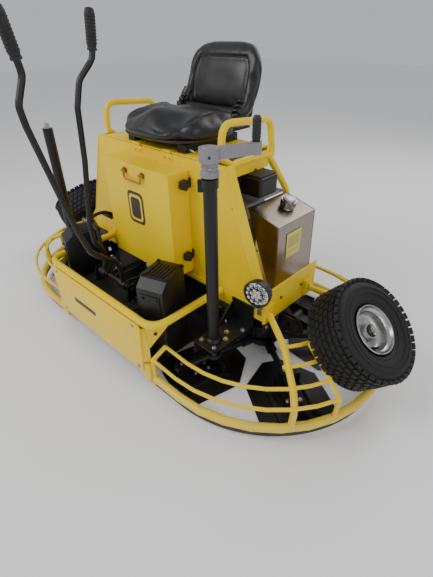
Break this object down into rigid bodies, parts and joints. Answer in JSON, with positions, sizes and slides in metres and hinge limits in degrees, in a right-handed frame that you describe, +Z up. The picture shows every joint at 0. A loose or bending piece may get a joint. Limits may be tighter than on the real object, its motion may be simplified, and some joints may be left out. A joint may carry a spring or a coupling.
{
  "type": "ride-on power trowel",
  "caption": "Ride-on concrete power trowel with counter-rotating blade rotors, tubular guard, cowled engine, seat, control levers and swing-up transport wheels.",
  "frame": {"origin": "on the floor, midway between the two rotor axes", "axes": "+X to the operator's left, -Y the way the operator faces, +Z up"},
  "size_m": [2.0906, 1.1273, 1.2263],
  "materials": {
    "yellow_paint": "satin powder coat",
    "black_powder_coat": "semi-matt powder coat",
    "black_plastic": "moulded",
    "black_vinyl": "grained vinyl cover over foam",
    "grip_rubber": "ribbed rubber",
    "tyre": "turf tread rubber",
    "zinc_steel": "zinc plated",
    "stainless_sheet": "folded stainless sheet",
    "grey_casting": "painted casting",
    "bronze_plating": "bronze plated wire",
    "blade_steel": "dark hardened steel"
  },
  "bodies": {
    "machine": {"guard_frame": "yellow_paint", "base_frame": "yellow_paint", "front_panel": "yellow_paint", "footwell_rail": "yellow_paint", "footwell_tray": "black_powder_coat", "pedestal_beam": "black_powder_coat", "foot_box_left": "black_powder_coat", "foot_box_right": "black_powder_coat", "front_cowl": "yellow_paint", "side_frame_left": "yellow_paint", "side_frame_right": "yellow_paint", "engine_block": "black_powder_coat", "air_cleaner": "black_powder_coat", "fuel_tank": "stainless_sheet", "tank_bracket": "grey_casting", "lamp_bracket": "zinc_steel", "pitch_post_left": "black_powder_coat", "pitch_post_right": "black_powder_coat", "post_bracket_left": "black_powder_coat", "post_bracket_right": "black_powder_coat", "wheel_bracket_left": "black_powder_coat", "wheel_bracket_right": "black_powder_coat"},
    "seat_assembly": {"seat_deck": "yellow_paint", "seat_rails": "black_powder_coat", "seat_cushion": "black_vinyl", "seat_back": "black_vinyl"},
    "cover": {"access_cover": "yellow_paint", "cover_knob_upper": "black_plastic", "cover_knob_lower": "black_plastic"},
    "bail": {"cover_bail": "bronze_plating"},
    "cap": {"fuel_cap": "zinc_steel"},
    "lamp": {"lamp_head": "black_powder_coat"},
    "crank": {"crank_head": "grey_casting"},
    "crank_handle": {"crank_grip": "black_plastic"},
    "lever_left": {"lever_left": "black_powder_coat", "grip_left": "grip_rubber"},
    "gearbox_left": {"gearbox_left": "black_powder_coat"},
    "rotor_left": {"spider_left": "black_powder_coat"},
    "lift_rod_left": {"pitch_rod_left": "zinc_steel"},
    "blade_left_1": {"blade_left_1": "blade_steel"},
    "blade_left_2": {"blade_left_2": "blade_steel"},
    "blade_left_3": {"blade_left_3": "blade_steel"},
    "blade_left_4": {"blade_left_4": "blade_steel"},
    "blade_left_5": {"blade_left_5": "blade_steel"},
    "wheel_arm_left": {"wheel_arm_left": "black_powder_coat"},
    "wheel_left": {"wheel_rim_left": "zinc_steel", "tyre_left": "tyre"},
    "lever_right": {"lever_right": "black_powder_coat", "grip_right": "grip_rubber"},
    "gearbox_right": {"gearbox_right": "black_powder_coat"},
    "rotor_right": {"spider_right": "black_powder_coat"},
    "lift_rod_right": {"pitch_rod_right": "zinc_steel"},
    "blade_right_1": {"blade_right_1": "blade_steel"},
    "blade_right_2": {"blade_right_2": "blade_steel"},
    "blade_right_3": {"blade_right_3": "blade_steel"},
    "blade_right_4": {"blade_right_4": "blade_steel"},
    "blade_right_5": {"blade_right_5": "blade_steel"},
    "wheel_arm_right": {"wheel_arm_right": "black_powder_coat"},
    "wheel_right": {"wheel_rim_right": "zinc_steel", "tyre_right": "tyre"}
  },
  "joints": [
    {"name": "seat_tip", "type": "hinge", "parent": "machine", "child": "seat_assembly", "pos_m": [0, -0.141, 0.793], "axis": [1, 0, 0], "range_deg": [0, 40]},
    {"name": "cover_off", "type": "slide", "parent": "machine", "child": "cover", "axis": [0, -1, 0], "range_m": [0, 0.06]},
    {"name": "bail_swing", "type": "hinge", "parent": "cover", "child": "bail", "pos_m": [0, -0.244, 0.717], "axis": [-1, 0, 0], "range_deg": [0, 80]},
    {"name": "cap_turn", "type": "hinge", "parent": "machine", "child": "cap", "pos_m": [0.42277, 0.178, 0.58173], "axis": [0.2609, 0, 0.9654], "range_deg": [0, 90]},
    {"name": "lamp_tilt", "type": "hinge", "parent": "machine", "child": "lamp", "pos_m": [0.574, -0.186, 0.408], "axis": [1, 0, 0], "range_deg": [-30, 30]},
    {"name": "crank_turn", "type": "hinge", "parent": "machine", "child": "crank", "pos_m": [0.481, -0.31, 0.8236], "axis": [0, 0, -1], "range_deg": [0, 720]},
    {"name": "crank_grip_spin", "type": "hinge", "parent": "crank", "child": "crank_handle", "pos_m": [0.537, -0.18, 0.9032], "axis": [0, 0, 1], "continuous": true},
    {"name": "lever_left_swing", "type": "hinge", "parent": "machine", "child": "lever_left", "pos_m": [0.07, -0.392, 0.322], "axis": [1, 0, 0], "range_deg": [-28, 4]},
    {"name": "gearbox_left_tilt", "type": "hinge", "parent": "machine", "child": "gearbox_left", "pos_m": [0.475, 0, 0.235], "axis": [0, 1, 0], "range_deg": [-3, 3]},
    {"name": "rotor_left_spin", "type": "hinge", "parent": "gearbox_left", "child": "rotor_left", "pos_m": [0.475, 0, 0.06], "axis": [0, 0, 1], "continuous": true},
    {"name": "lift_rod_left_slide", "type": "slide", "parent": "machine", "child": "lift_rod_left", "axis": [0, 0, 1], "range_m": [0, 0.02]},
    {"name": "blade_left_1_pitch", "type": "hinge", "parent": "rotor_left", "child": "blade_left_1", "pos_m": [0.475, 0, 0.06], "axis": [0.8387, -0.5446, 0], "range_deg": [-12, 12]},
    {"name": "blade_left_2_pitch", "type": "hinge", "parent": "rotor_left", "child": "blade_left_2", "pos_m": [0.475, 0, 0.06], "axis": [0.7771, 0.6293, 0], "range_deg": [-12, 12]},
    {"name": "blade_left_3_pitch", "type": "hinge", "parent": "rotor_left", "child": "blade_left_3", "pos_m": [0.475, 0, 0.06], "axis": [-0.3584, 0.9336, 0], "range_deg": [-12, 12]},
    {"name": "blade_left_4_pitch", "type": "hinge", "parent": "rotor_left", "child": "blade_left_4", "pos_m": [0.475, 0, 0.06], "axis": [-0.9986, -0.0523, 0], "range_deg": [-12, 12]},
    {"name": "blade_left_5_pitch", "type": "hinge", "parent": "rotor_left", "child": "blade_left_5", "pos_m": [0.475, 0, 0.06], "axis": [-0.2588, -0.9659, 0], "range_deg": [-12, 12]},
    {"name": "wheel_arm_left_swing", "type": "hinge", "parent": "machine", "child": "wheel_arm_left", "pos_m": [0.618, 0.014, 0.214], "axis": [0, -1, 0], "range_deg": [0, 25]},
    {"name": "wheel_left_spin", "type": "hinge", "parent": "wheel_arm_left", "child": "wheel_left", "pos_m": [0.879, 0.014, 0.28], "axis": [0.6743, 0, 0.7385], "continuous": true},
    {"name": "lever_right_swing", "type": "hinge", "parent": "machine", "child": "lever_right", "pos_m": [-0.07, -0.392, 0.322], "axis": [1, 0, 0], "range_deg": [-12, 20]},
    {"name": "gearbox_right_tilt", "type": "hinge", "parent": "machine", "child": "gearbox_right", "pos_m": [-0.475, 0, 0.235], "axis": [0, 1, 0], "range_deg": [-3, 3]},
    {"name": "rotor_right_spin", "type": "hinge", "parent": "gearbox_right", "child": "rotor_right", "pos_m": [-0.475, 0, 0.06], "axis": [0, 0, 1], "continuous": true},
    {"name": "lift_rod_right_slide", "type": "slide", "parent": "machine", "child": "lift_rod_right", "axis": [0, 0, 1], "range_m": [0, 0.02]},
    {"name": "blade_right_1_pitch", "type": "hinge", "parent": "rotor_right", "child": "blade_right_1", "pos_m": [-0.475, 0, 0.06], "axis": [-0.8387, -0.5446, 0], "range_deg": [-12, 12]},
    {"name": "blade_right_2_pitch", "type": "hinge", "parent": "rotor_right", "child": "blade_right_2", "pos_m": [-0.475, 0, 0.06], "axis": [-0.7771, 0.6293, 0], "range_deg": [-12, 12]},
    {"name": "blade_right_3_pitch", "type": "hinge", "parent": "rotor_right", "child": "blade_right_3", "pos_m": [-0.475, 0, 0.06], "axis": [0.3584, 0.9336, 0], "range_deg": [-12, 12]},
    {"name": "blade_right_4_pitch", "type": "hinge", "parent": "rotor_right", "child": "blade_right_4", "pos_m": [-0.475, 0, 0.06], "axis": [0.9986, -0.0523, 0], "range_deg": [-12, 12]},
    {"name": "blade_right_5_pitch", "type": "hinge", "parent": "rotor_right", "child": "blade_right_5", "pos_m": [-0.475, 0, 0.06], "axis": [0.2588, -0.9659, 0], "range_deg": [-12, 12]},
    {"name": "wheel_arm_right_swing", "type": "hinge", "parent": "machine", "child": "wheel_arm_right", "pos_m": [-0.618, 0.014, 0.214], "axis": [0, 1, 0], "range_deg": [0, 25]},
    {"name": "wheel_right_spin", "type": "hinge", "parent": "wheel_arm_right", "child": "wheel_right", "pos_m": [-0.879, 0.014, 0.28], "axis": [-0.6743, 0, 0.7385], "continuous": true}
  ],
  "couplings": [
    {"joint": "gearbox_left_tilt", "follows": "lever_left_swing", "ratio": 0.08},
    {"joint": "gearbox_right_tilt", "follows": "lever_right_swing", "ratio": -0.08},
    {"joint": "rotor_right_spin", "follows": "rotor_left_spin", "ratio": -1},
    {"joint": "blade_left_1_pitch", "follows": "crank_turn", "ratio": 0.013889},
    {"joint": "blade_left_2_pitch", "follows": "crank_turn", "ratio": 0.013889},
    {"joint": "blade_left_3_pitch", "follows": "crank_turn", "ratio": 0.013889},
    {"joint": "blade_left_4_pitch", "follows": "crank_turn", "ratio": 0.013889},
    {"joint": "blade_left_5_pitch", "follows": "crank_turn", "ratio": 0.013889},
    {"joint": "blade_right_1_pitch", "follows": "lift_rod_right_slide", "rad_per_m": -8.7266},
    {"joint": "blade_right_2_pitch", "follows": "lift_rod_right_slide", "rad_per_m": -8.7266},
    {"joint": "blade_right_3_pitch", "follows": "lift_rod_right_slide", "rad_per_m": -8.7266},
    {"joint": "blade_right_4_pitch", "follows": "lift_rod_right_slide", "rad_per_m": -8.7266},
    {"joint": "blade_right_5_pitch", "follows": "lift_rod_right_slide", "rad_per_m": -8.7266},
    {"joint": "lift_rod_left_slide", "follows": "crank_turn", "m_per_rad": 0.0015915}
  ]
}
